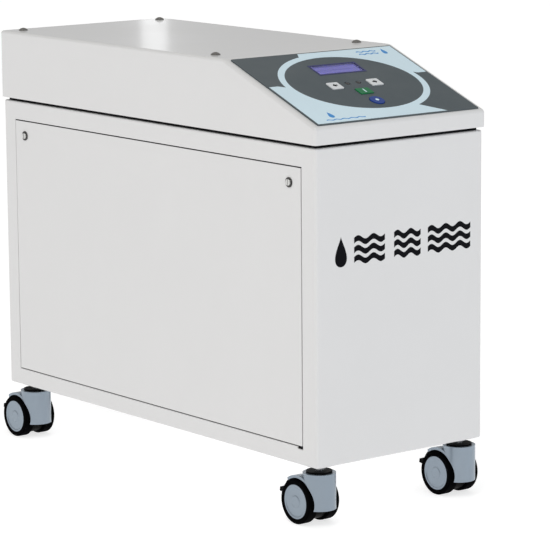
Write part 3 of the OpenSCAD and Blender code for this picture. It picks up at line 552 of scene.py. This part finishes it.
class UnitSizes(bpy.types.PropertyGroup):
    """Sizes of the folds, the print and the marks."""

    cover_fold: length("Cover fold", "Radius of the cover's folded edges", 3.6, 0.5, 5)
    cabinet_fold: length("Cabinet fold", "Radius of the cabinet's folded upper and lower edges", 2.2, 0.5, 4)
    sheet_edge: length("Sheet edge", "Rounding on the cut edges of the sheet metal", 0.6, 0.1, 0.9)
    moulded_edge: length("Moulded edge", "Rounding on moulded parts", 0.8, 0.1, 1.5)
    key_edge: length("Key edge", "Rounding on the tops of the keys", 0.7, 0.1, 1)
    fold_steps: IntProperty(name="Fold steps", description="Steps round each fold", default=5, min=2, max=12)
    ring_across: length("Ring width", "Half the width of the printed ring, to its outer edge", 94.6, 60, 110)
    ring_down: length("Ring height", "Half the height of the printed ring, to its outer edge", 71, 40, 76)
    ring_band: length("Ring band", "Width of the printed ring's band", 7.8, 2, 14)
    ring_right: length("Ring offset", "The ring's centre, right of the plate's middle", 1.7, -10, 10)
    ring_low: length("Ring drop", "The ring's centre, below the plate's upper edge", 77.8, 60, 100)
    print_border: length("Print border", "Dark border round the printed fields", 2, 0.5, 6)
    print_height: length("Print height", "Thickness of the printed ink", 0.12, 0.02, 0.3)
    mark_left: length("Mark start", "Left end of the mark on the front", -97, -115, 0)
    mark_up: length("Mark height", "The mark's centre above the middle of the front", 19, -100, 150)
    mark_tall: length("Mark size", "Height of the mark on the front", 33, 10, 60)


class UnitColours(bpy.types.PropertyGroup):
    """Colours of the paint, the print and the castors."""

    paint: colour("Paint", "Powder coat on the cabinet and the cover", FINISHES["cabinet_white"][0])
    console: colour("Console", "Dark field of the console plate", FINISHES["console_print"][0])
    field: colour("Field", "Pale field printed on the console", FINISHES["print_light"][0])
    castor: colour("Castors", "Hoods and wheels of the castors", FINISHES["castor_grey"][0])
    floor: colour("Floor", "The studio floor", (0.50, 0.50, 0.50))


def sizes():
    return bpy.context.scene.unit_sizes


def colours():
    return bpy.context.scene.unit_colours


class Finishes(bpy.types.Operator):
    """Makes the finishes that every piece uses."""

    bl_idname = "unit.finishes"
    bl_label = "Finishes"

    def execute(self, context):
        make_groups()
        chosen = {
            "cabinet_white": colours().paint, "console_print": colours().console,
            "print_light": colours().field, "castor_grey": colours().castor,
        }
        for name, values in FINISHES.items():
            make_finish(name, tuple(chosen.get(name, values[0])), *values[1:])
        make_glass("display_lens", (0.72, 0.72, 0.98), 0.06)
        make_glass("clear_lens", (0.98, 0.98, 0.98), 0.02)
        glow = finish_of("display_cell").node_tree.nodes["Principled BSDF"]
        glow.inputs["Emission Color"].default_value = (0.30, 0.26, 0.80, 1)
        glow.inputs["Emission Strength"].default_value = 0.25
        glow = finish_of("display_blue").node_tree.nodes["Principled BSDF"]
        glow.inputs["Emission Color"].default_value = (0.12, 0.11, 0.60, 1)
        glow.inputs["Emission Strength"].default_value = 0.30
        return {"FINISHED"}


class Cabinet(bpy.types.Operator):
    """Folds the cabinet and finishes its side panels, gasket and panel fasteners."""

    bl_idname = "unit.cabinet"
    bl_label = "Cabinet"

    def execute(self, context):
        low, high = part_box("cabinet_shell")
        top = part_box("cover_gasket")[0].z

        def edge_of_body(e, at):
            across = abs(at.x) > high.x - FOLD_REACH
            outer = across or at.y < low.y + FOLD_REACH or at.y > high.y - FOLD_REACH
            level = abs(e.verts[0].co.z - e.verts[1].co.z) < LEVEL
            return outer and level and (at.z < low.z + 0.1 * MM or abs(at.z - top) < 0.1 * MM)

        def edge_of_opening(e, at):
            on_side = abs(abs(at.x) - high.x) < 2 * LEVEL
            between = low.z + OPENING_CLEAR < at.z < top - OPENING_CLEAR
            return on_side and between and abs(at.y - (low.y + high.y) / 2) < OPENING_REACH

        def fold(piece):
            round_edges(piece, edge_of_body, sizes().cabinet_fold, sizes().fold_steps - 1)
            round_edges(piece, edge_of_opening, sizes().sheet_edge, 2)

        finish_node("cabinet_shell", 0, name="cabinet_body", edit=fold)
        finish_node("cover_gasket", 0.3 * MM)
        for side in ("left", "right"):
            finish_node(f"side_panel_{side}", sizes().sheet_edge, 3, name=f"{side}_panel")
            # Paints the shade in the gap round the panel and in its notch
            self.seal(side)
        finish_node("panel_screws", 0.25 * MM, name="panel_fasteners", edit=shade_and_highlight_heads)
        return {"FINISHED"}

    def seal(self, side):
        """A dark strip on the lip, in the gap all round a side panel and in its notch: painted shade where the gap
        and the notch fall dark.
        """
        low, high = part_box(f"side_panel_{side}")
        wide = PANEL_GAP - 0.05 * MM
        bars = [
            rectangle(low.y - wide, low.z - wide, high.y + wide, low.z),
            rectangle(low.y - wide, high.z, high.y + wide, high.z + wide),
            rectangle(low.y - wide, low.z, low.y, high.z), rectangle(high.y, low.z, high.y + wide, high.z),
            rectangle(low.y - wide, low.z - wide - NOTCH_HIGH, low.y - wide + NOTCH_LONG, low.z - wide),
        ]
        foot = low.x if side == "right" else high.x
        inward = -1 if side == "right" else 1
        near, far = sorted((foot - inward * GAP_SHADE_THICK, foot))
        strip = join(f"{side}_panel_gap_shade", [outline("bar", bar, near, far) for bar in bars])
        put(strip, FROM_SIDE)
        settle(strip, "cabinet", "seal_black")


def shade_and_highlight_heads(piece):
    """Paints each fastener's flange dark as painted shade and its centre bright as a painted highlight."""
    piece.data.materials.append(finish_of("fastener_dark"))
    piece.data.materials.append(finish_of("steel_bright"))
    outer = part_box("panel_screws")[1].x
    flange = outer - FLANGE_DEPTH
    for face in piece.data.polygons:
        if abs(face.center.x) > flange:
            face.material_index = 1


class Cover(bpy.types.Operator):
    """Folds the top cover from its side outline, opens its windows and finishes its screws."""

    bl_idname = "unit.cover"
    bl_label = "Top cover"

    def execute(self, context):
        low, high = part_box("top_cover")
        plate_foot = box_in(CONSOLE, "control_overlay")[0].z
        skin = CONSOLE @ Vector((0, 0, plate_foot))
        out = CONSOLE.to_3x3() @ Vector((0, 0, 1))
        level = skin.dot(out)
        fold_y = (high.z * out.z - level) / -out.y
        lip_z = (level - low.y * out.y) / out.z
        side = [(low.y, low.z), (high.y, low.z), (high.y, high.z), (fold_y, high.z), (low.y, lip_z)]
        cover = outline("cover", side, low.x, high.x)
        put(cover, FROM_SIDE)
        with editing(cover, "EDGE") as mesh:
            pick(cover, mesh, mesh.edges, lambda e: max(v.co.z for v in e.verts) > low.z + 1 * MM)
            bpy.ops.mesh.bevel(
                offset_type="OFFSET", offset=sizes().cover_fold, segments=sizes().fold_steps,
                profile=0.5, affect="EDGES",
            )
        with editing(cover, "FACE") as mesh:
            pick(
                cover, mesh, mesh.faces,
                lambda f: f.normal.z < -0.99 and f.calc_center_median().z < low.z + MM,
            )
            bpy.ops.mesh.delete(type="FACE")
        wall = cover.modifiers.new("Wall", "SOLIDIFY")
        wall.thickness = SHEET
        wall.offset = -1
        wall.use_even_offset = True
        apply_all(cover)
        self.windows(cover, plate_foot)
        self.screw_holes(cover, high.z)
        settle(cover, "cabinet", "cabinet_white", "top_cover")
        finish_node("cover_screws", 0.3 * MM, name="cover_fasteners")
        return {"FINISHED"}

    def windows(self, cover, skin):
        """Holes under the plate for the display, the keys and the indicators."""
        shapes = []
        for node in ("display_window", "key_back", "key_next", "key_start", "key_stop"):
            low, high = box_in(CONSOLE, node)
            shapes.append(rectangle(low.x, low.y, high.x, high.y))
        low, high = box_in(CONSOLE, "status_leds")
        radius = (high.y - low.y) / 2
        for x in (low.x + radius, high.x - radius):
            shapes.append(ellipse(radius * 1.1, radius * 1.1, (x, (low.y + high.y) / 2), 32))
        cutters = [outline("window", shape, skin - SHEET - MM, skin + MM) for shape in shapes]
        for cutter in cutters:
            put(cutter, CONSOLE)
            cut(cover, cutter)

    def screw_holes(self, cover, top):
        low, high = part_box("cover_screws")
        radius = SCREW_HEAD_RADIUS
        for x in (low.x + radius, high.x - radius):
            for y in (low.y + radius, high.y - radius):
                hole = outline("hole", ellipse(SCREW_HOLE, SCREW_HOLE, (x, y), 24), top - 5 * MM, top + MM)
                cut(cover, hole)


class Console(bpy.types.Operator):
    """Makes the console plate's print, the display, the keys and the indicators."""

    bl_idname = "unit.console"
    bl_label = "Console"

    def execute(self, context):
        finish_node("control_overlay", 0.25 * MM, name="console_plate")
        self.fields()
        self.marks()
        self.display()
        self.keys()
        finish_node("status_leds", 0.2 * MM, name="indicators")
        finish_node("control_board", 0.2 * MM, name="control_board_finished")
        return {"FINISHED"}

    def ink(self, name, corners, material, lift=0.0, body="cabinet", slot="console_print"):
        """A printed shape on the plate, or higher by lift."""
        piece = outline(name, corners, lift + INK_FOOT, lift + sizes().print_height)
        put(piece, CONSOLE)
        return settle(piece, body, slot, material=material)

    def fields(self):
        """The oval ring and the two corner fields that run into it."""
        s = sizes()
        low, high = box_in(CONSOLE, "control_overlay")
        edge = s.print_border
        centre = (s.ring_right, -s.ring_low)
        bottom, top = INK_FOOT, s.print_height
        band = outline("console_field", ellipse(s.ring_across, s.ring_down, centre), bottom, top)
        shoulder = centre[1] + 8 * MM
        upper = [
            (centre[0] - 28 * MM, centre[1] + s.ring_down - 4 * MM), (high.x - 14 * MM, shoulder),
            (high.x - edge, shoulder), (high.x - edge, high.y - edge), (centre[0] - 24 * MM, high.y - edge),
        ]
        lower = [
            (low.x + edge, low.y + edge), (centre[0] + 68 * MM, low.y + edge),
            (centre[0] + 42 * MM, centre[1] - s.ring_down + 8 * MM), (low.x + 14 * MM, centre[1] + 7 * MM),
            (low.x + edge, centre[1] + 7 * MM),
        ]
        cut(band, outline("upper_field", upper, bottom, top), "UNION")
        cut(band, outline("lower_field", lower, bottom, top), "UNION")
        hole = ellipse(s.ring_across - s.ring_band, s.ring_down - s.ring_band, centre)
        cut(band, outline("ring_hole", hole, -1 * MM, 1 * MM))
        put(band, CONSOLE)
        settle(band, "cabinet", "console_print", material="print_light")

    def marks(self):
        """Plain drops and waves in the two corners."""
        low, high = box_in(CONSOLE, "control_overlay")
        lift = sizes().print_height
        x, y = high.x - 20 * MM, high.y - 13 * MM
        self.ink("corner_drop", drop((x, y), 9 * MM, 13 * MM), "print_blue", lift)
        for i in range(2):
            band = wave((x - 38 * MM, y + (3 - 6 * i) * MM), 28 * MM, 1.8 * MM, 0.9 * MM, 3)
            self.ink(f"corner_wave_{i + 1}", band, "print_blue", lift)
        x, y = low.x + 31 * MM, low.y + 19 * MM
        self.ink("lower_drop", drop((x, y), 10 * MM, 13 * MM), "print_blue", lift)
        band = wave((x - 13 * MM, y - 11 * MM), 54 * MM, 1.5 * MM, 0.7 * MM, 5)
        self.ink("lower_wave", band, "print_blue", lift)

    def display(self):
        """The lens, its dark frame, and two rows of blank character cells behind it."""
        low, high = box_in(CONSOLE, "display_window")
        frame_wide = 1.8 * MM
        around = rectangle(low.x - frame_wide, low.y - frame_wide, high.x + frame_wide, high.y + frame_wide)
        bezel = outline("display_frame", around, INK_FOOT, 0.25 * MM)
        inner = 0.6 * MM
        inside = rectangle(low.x + inner, low.y + inner, high.x - inner, high.y - inner)
        cut(bezel, outline("frame_hole", inside, -1 * MM, 1 * MM))
        put(bezel, CONSOLE)
        soften(bezel, 0.08 * MM)
        settle(bezel, "cabinet", "display_blue", material="print_navy")

        def raise_foot(piece):
            back = CONSOLE.inverted()
            for vertex in piece.data.vertices:
                at = back @ vertex.co
                if at.z < low.z + 0.1 * MM:
                    vertex.co = CONSOLE @ Vector((at.x, at.y, at.z + 0.3 * MM))

        finish_node("display_window", 0.15 * MM, name="display_lens_piece", edit=raise_foot)
        finish_node("display_module", 0, name="display_panel")
        face = box_in(CONSOLE, "display_module")[1].z
        columns, rows = 16, 2
        step_x, step_y = (high.x - low.x) * 0.92 / columns, (high.y - low.y) * 0.40
        cell_w, cell_h = step_x * 0.78, step_y * 0.76
        centre = (low + high) / 2
        cells = []
        for row in range(rows):
            for column in range(columns):
                x = centre.x + (column - (columns - 1) / 2) * step_x
                y = centre.y + (row - (rows - 1) / 2) * step_y
                corners = rectangle(x - cell_w / 2, y - cell_h / 2, x + cell_w / 2, y + cell_h / 2)
                cells.append(outline("cell", corners, face + INK_FOOT, face + 0.08 * MM))
        cells = join("display_cells", cells)
        put(cells, CONSOLE)
        settle(cells, "cabinet", "display_blue", material="display_cell")

    def keys(self):
        """Key caps with soft tops, each with a plain sign on it."""
        for node in ("key_back", "key_next", "key_start", "key_stop"):
            finish_node(node, sizes().key_edge, 3, name=f"{node}_cap")
        arrow = [(-4.2, 0.0), (0.4, 4.2), (0.4, 1.5), (4.2, 1.5), (4.2, -1.5), (0.4, -1.5), (0.4, -4.2)]
        signs = {
            "key_back": ([(x * MM, y * MM) for x, y in arrow], "print_black"),
            "key_next": ([(-x * MM, y * MM) for x, y in arrow], "print_black"),
            "key_start": (rectangle(-0.9 * MM, -4.2 * MM, 0.9 * MM, 4.2 * MM), "print_light"),
            "key_stop": (ellipse(2.6 * MM, 2.6 * MM, steps=32), "print_light"),
        }
        for node, (corners, material) in signs.items():
            low, high = box_in(CONSOLE, node)
            centre = (low + high) / 2
            share = (high.x - low.x) / SIGN_KEY
            placed = [(centre.x + x * share, centre.y + y * share) for x, y in corners]
            self.ink(f"{node}_sign", placed, material, high.z, body_of(node), slot_of(node))


class FrontMark(bpy.types.Operator):
    """Prints a plain water mark on the front: a drop and bands of waves."""

    bl_idname = "unit.front_mark"
    bl_label = "Front mark"

    def execute(self, context):
        s = sizes()
        place = front_place()
        tall = s.mark_tall
        shapes = [drop((s.mark_left + tall * 0.36, s.mark_up), tall * 0.72, tall)]
        band, gap = tall * 0.19, tall * 0.32
        for start, wide, cycles in ((0.92, 1.32, 2), (2.64, 1.16, 2), (4.12, 1.9, 3)):
            for i in range(3):
                at = (s.mark_left + tall * start, s.mark_up + (1 - i) * gap)
                shapes.append(wave(at, tall * wide, band, tall * 0.07, cycles))
        pieces = [outline("mark", corners, INK_FOOT, s.print_height) for corners in shapes]
        mark = join("front_mark", pieces)
        put(mark, place)
        settle(mark, "cabinet", "cabinet_white", material="print_black")
        return {"FINISHED"}


class Castors(bpy.types.Operator):
    """Finishes the four castors: hoods, caps, wheels with stepped discs, tyres and pedals."""

    bl_idname = "unit.castors"
    bl_label = "Castors"

    def execute(self, context):
        finish_node("castor_stems", 0.4 * MM, name="castor_stems_finished")
        edge = sizes().moulded_edge
        for corner in CORNERS:
            finish_node(
                f"{corner}_chassis", edge * 0.6, name=f"{corner}_cap",
                edit=lambda piece, corner=corner: self.narrow_cap(piece, corner),
            )
            finish_node(f"{corner}_hood", edge, 3, name=f"{corner}_cowl")
            finish_node(f"{corner}_axle", 0.3 * MM, name=f"{corner}_axle_pin")
            finish_node(
                f"{corner}_wheels", 0.5 * MM, name=f"{corner}_wheel_discs",
                edit=lambda piece, corner=corner: self.step_discs(piece, corner),
            )
            finish_node(f"{corner}_treads", 0.2 * MM, name=f"{corner}_tyres")
            finish_node(f"{corner}_brake", edge * 0.8, name=f"{corner}_pedal_arm")
        return {"FINISHED"}

    def narrow_cap(self, piece, corner):
        """Draws the cap in, so that the hood's top shows round it as a rim."""
        stem = joint(f"{corner}_swivel")["pos_m"]
        under_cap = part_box(f"{corner}_chassis")[1].z - CAP_DEPTH
        for vertex in piece.data.vertices:
            reach = Vector((vertex.co.x - stem[0], vertex.co.y - stem[1]))
            if vertex.co.z > under_cap and reach.length > CAP_BORE:
                reach *= (reach.length - CAP_RIM) / reach.length
                vertex.co.x, vertex.co.y = stem[0] + reach.x, stem[1] + reach.y

    def step_discs(self, piece, corner):
        """A shallow dish with a raised hub in the outer face of each disc."""
        low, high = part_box(f"{corner}_wheels")
        for side, x in ((-1, low.x), (1, high.x)):
            with editing(piece, "FACE") as mesh:
                pick(
                    piece, mesh, mesh.faces,
                    lambda f: abs(f.calc_center_median().x - x) < 0.02 * MM and f.normal.x * side > 0.99,
                )
                bpy.ops.mesh.inset(thickness=2.2 * MM)
                bpy.ops.mesh.inset(thickness=0.7 * MM, depth=-0.8 * MM)
                bpy.ops.mesh.inset(thickness=9.5 * MM)
                bpy.ops.mesh.inset(thickness=0.6 * MM, depth=0.7 * MM)


class Rear(bpy.types.Operator):
    """Finishes the inlet, switch, fan, gauge and hose fittings on the rear."""

    bl_idname = "unit.rear"
    bl_label = "Rear fittings"

    def execute(self, context):
        finish_node("mains_inlet", 0.35 * MM, name="mains_inlet_finished", edit=self.brass_pins)
        finish_node("mains_switch", 0.5 * MM, name="rocker_cap")
        finish_node("fan_frame", 0.5 * MM, name="fan_frame_finished")
        finish_node("fan_rotor", 0.2 * MM, name="fan_blades")
        finish_node("pressure_gauge", 0.4 * MM, name="gauge_case")
        finish_node("gauge_needle", 0.1 * MM, name="gauge_pointer")
        finish_node("hose_fittings", 0.4 * MM, name="hose_tails")
        self.dial()
        return {"FINISHED"}

    def brass_pins(self, piece):
        piece.data.materials.append(finish_of("appliance_black"))
        piece.data.materials.append(finish_of("brass"))
        low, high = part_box("mains_inlet")
        centre = (low.x + high.x) / 2
        for face in piece.data.polygons:
            at = face.center
            inside = abs(at.x - centre) < 8.5 * MM and high.y - 17 * MM < at.y < high.y - 4 * MM
            if inside and high.z - 20 * MM < at.z < high.z - 9 * MM and abs(face.normal.y) < 0.9:
                face.material_index = 1

    def dial(self):
        """A white dial with eleven marks, under a clear lens."""
        place = rear_place("gauge_sweep")
        low, high = box_in(place, "pressure_gauge")
        radius = high.x
        face = ellipse(radius - 2.3 * MM, radius - 2.3 * MM, steps=64)
        dial = outline("gauge_dial", face, 1.0 * MM, 1.25 * MM)
        pin = ellipse(1.6 * MM, 1.6 * MM, steps=24)
        cut(dial, outline("pin_hole", pin, 0, 3 * MM))
        put(dial, place)
        settle(dial, "cabinet", "gauge_steel", material="dial_white")
        ticks = []
        count = 11
        for i in range(count):
            turn = math.radians(225 - 270 * i / (count - 1))
            along = Vector((math.cos(turn), math.sin(turn)))
            aside = Vector((-along.y, along.x)) * (0.45 if i % 5 == 0 else 0.25) * MM
            outer, inner = along * (radius - 3.6 * MM), along * (radius - (8 if i % 5 == 0 else 6.4) * MM)
            corners = [outer + aside, inner + aside, inner - aside, outer - aside]
            ticks.append(outline("tick", [tuple(c) for c in corners], 1.24 * MM, 1.33 * MM))
        ticks = join("gauge_marks", ticks)
        put(ticks, place)
        settle(ticks, "cabinet", "gauge_steel", material="print_black")
        glass = ellipse(radius - 2.2 * MM, radius - 2.2 * MM, steps=64)
        lens = outline("gauge_lens", glass, 3.9 * MM, 4.7 * MM)
        put(lens, place)
        soften(lens, 0.2 * MM)
        settle(lens, "cabinet", "gauge_steel", material="clear_lens")


INSIDE_EDGES = {
    "pressure_vessels": 0.3, "vessel_caps": 1.0, "membrane_elements": 0.4, "vessel_clamps": 0.4,
    "pump_motor": 0.6, "pump_shaft": 0.3, "pump_head": 0.8, "prefilter_housing": 1.0,
    "prefilter_cartridge": 0.4, "inlet_valve": 0.6, "power_box": 0.6, "tubing": 0,
}


class Inside(bpy.types.Operator):
    """Finishes what is inside the cabinet: vessels, filter, pump, valve, power box and tubing."""

    bl_idname = "unit.inside"
    bl_label = "Water side"

    def execute(self, context):
        for node, edge in INSIDE_EDGES.items():
            finish_node(node, edge * MM)
        return {"FINISHED"}


# The room: its colour at the horizon and overhead, its strength, and the floor's own glow
HORIZON = (0.72, 0.72, 0.735, 1)
OVERHEAD = (0.76, 0.76, 0.73, 1)
ROOM_STRENGTH = 0.74
FLOOR_GLOW = 0.72
# Lights: name, place, aim, width, height, power and tint
LIGHTS = (
    ("key_softbox", (-1.8, -1.2, 3.0), (0, 0, 0.25), 1.2, 1.0, 26, (1.0, 0.985, 0.965)),
    ("front_softbox", (1.6, -3.4, 1.2), (0, 0, 0.25), 1.6, 1.4, 8, (0.50, 0.72, 1.0)),
    ("rear_strip", (1.99, 2.87, 1.2), (0, 0, 0.5), 0.06, 1.4, 0.30, (0.98, 0.99, 1.0)),
)
CAMERA_AT = (-2.12822, -2.78806, 0.85069)
CAMERA_TURN = (79.86923, 0.41956, -38.36587)
CAMERA_LENS = 197.94


class Stage(bpy.types.Operator):
    """Lays the floor and sets the soft studio light and the camera."""

    bl_idname = "unit.stage"
    bl_label = "Stage"

    def execute(self, context):
        self.floor()
        self.world()
        self.lights()
        self.camera()
        context.scene.view_settings.view_transform = "Standard"
        return {"FINISHED"}

    def floor(self):
        bpy.ops.object.select_all(action="DESELECT")
        bpy.ops.mesh.primitive_plane_add(size=40)
        floor = bpy.context.object
        floor.name = "studio_floor"
        material = make_finish("floor", tuple(colours().floor), 0.7, 0.0, 0.02, 300, 0.01, 0.0, 0.0, False)
        shader = material.node_tree.nodes["Principled BSDF"]
        shader.inputs["Emission Color"].default_value = (1, 1, 1, 1)
        shader.inputs["Emission Strength"].default_value = FLOOR_GLOW
        floor.data.materials.append(material)

    def world(self):
        """Light from all round, a little cooler at the horizon than overhead."""
        world = bpy.data.worlds.new("studio")
        bpy.context.scene.world = world
        world.use_nodes = True
        tree = world.node_tree
        background = tree.nodes["Background"]
        where = tree.nodes.new("ShaderNodeTexCoord")
        split = tree.nodes.new("ShaderNodeSeparateXYZ")
        tree.links.new(where.outputs["Generated"], split.inputs[0])
        height = ramp_node(tree, split.outputs["Z"], 0.0, 0.9)
        mix = tree.nodes.new("ShaderNodeMix")
        mix.data_type = "RGBA"
        tree.links.new(height, mix.inputs["Factor"])
        mix.inputs["A"].default_value = HORIZON
        mix.inputs["B"].default_value = OVERHEAD
        tree.links.new(mix.outputs["Result"], background.inputs["Color"])
        background.inputs["Strength"].default_value = ROOM_STRENGTH

    def area(self, name, at, aim, wide, tall, power, tint):
        light = bpy.data.lights.new(name, "AREA")
        light.shape = "RECTANGLE"
        light.size, light.size_y = wide, tall
        light.energy = power
        light.color = tint
        lamp = bpy.data.objects.new(name, light)
        bpy.context.scene.collection.objects.link(lamp)
        lamp.location = at
        lamp.rotation_mode = "QUATERNION"
        lamp.rotation_quaternion = (Vector(aim) - Vector(at)).to_track_quat("-Z", "Y")

    def lights(self):
        for light in LIGHTS:
            self.area(*light)

    def camera(self):
        camera = bpy.data.objects.new("camera", bpy.data.cameras.new("camera"))
        bpy.context.scene.collection.objects.link(camera)
        camera.location = CAMERA_AT
        camera.rotation_euler = [math.radians(a) for a in CAMERA_TURN]
        camera.data.lens = CAMERA_LENS
        camera.data.sensor_width = 36
        camera.data.clip_start, camera.data.clip_end = 0.1, 100
        bpy.context.scene.camera = camera


STEPS = (Finishes, Cabinet, Cover, Console, FrontMark, Castors, Rear, Inside, Stage)


class UnitPanel(bpy.types.Panel):
    """Sizes, colours and steps of the unit."""

    bl_idname = "VIEW3D_PT_unit"
    bl_label = "Reverse Osmosis Unit"
    bl_space_type = "VIEW_3D"
    bl_region_type = "UI"
    bl_category = "RO Unit"

    def draw(self, context):
        for group in (context.scene.unit_sizes, context.scene.unit_colours):
            box = self.layout.box()
            for name in group.__annotations__:
                box.prop(group, name)
        for step in STEPS:
            self.layout.operator(step.bl_idname)


CLASSES = (UnitSizes, UnitColours, *STEPS, UnitPanel)


def register():
    for cls in CLASSES:
        bpy.utils.register_class(cls)
    bpy.types.Scene.unit_sizes = PointerProperty(type=UnitSizes)
    bpy.types.Scene.unit_colours = PointerProperty(type=UnitColours)


def unregister():
    del bpy.types.Scene.unit_sizes
    del bpy.types.Scene.unit_colours
    for cls in reversed(CLASSES):
        bpy.utils.unregister_class(cls)


def main():
    register()
    for step in STEPS:
        category, name = step.bl_idname.split(".")
        getattr(getattr(bpy.ops, category), name)()


if __name__ == "__main__":
    main()
